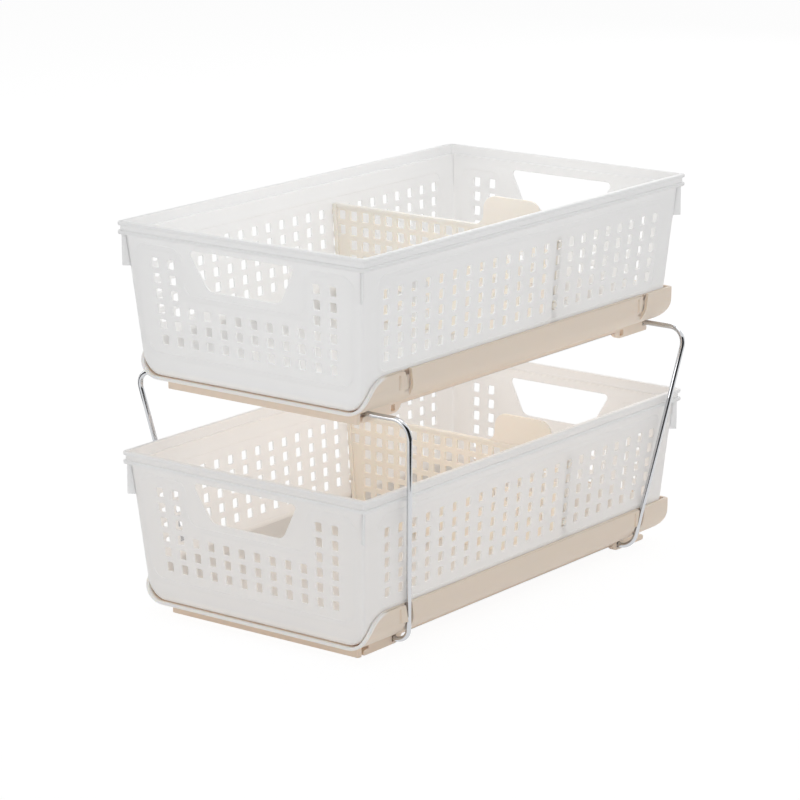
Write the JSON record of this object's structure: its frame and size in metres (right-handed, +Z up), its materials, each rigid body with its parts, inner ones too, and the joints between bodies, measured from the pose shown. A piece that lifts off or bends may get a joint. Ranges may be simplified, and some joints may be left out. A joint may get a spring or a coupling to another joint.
{
  "type": "two-tier slide-out basket organizer",
  "caption": "Tiered organizer: perforated frosted baskets slide out on open-fronted trays that bent wire frames stack, and a tabbed divider crosses each basket.",
  "frame": {"origin": "on the floor under the middle of the baskets", "axes": "+Z up, +X to the right seen from the front, -Y towards the front, where the baskets slide out"},
  "size_m": [0.2614, 0.418, 0.3062],
  "materials": {
    "basket_plastic": "frosted translucent moulded polypropylene",
    "divider_plastic": "satin cream moulded plastic",
    "tray_plastic": "satin beige moulded plastic",
    "wire_chrome": "bright plated wire"
  },
  "bodies": {
    "stand": {"lower_tray": "tray_plastic", "upper_tray": "tray_plastic", "front_wire_frame": "wire_chrome", "rear_wire_frame": "wire_chrome"},
    "upper_drawer": {"upper_basket": "basket_plastic", "upper_divider": "divider_plastic"},
    "lower_drawer": {"lower_basket": "basket_plastic", "lower_divider": "divider_plastic"}
  },
  "joints": [
    {"name": "upper_basket_slide", "type": "slide", "parent": "stand", "child": "upper_drawer", "axis": [0, -1, 0], "range_m": [0, 0.18]},
    {"name": "lower_basket_slide", "type": "slide", "parent": "stand", "child": "lower_drawer", "axis": [0, -1, 0], "range_m": [0, 0.18]}
  ]
}
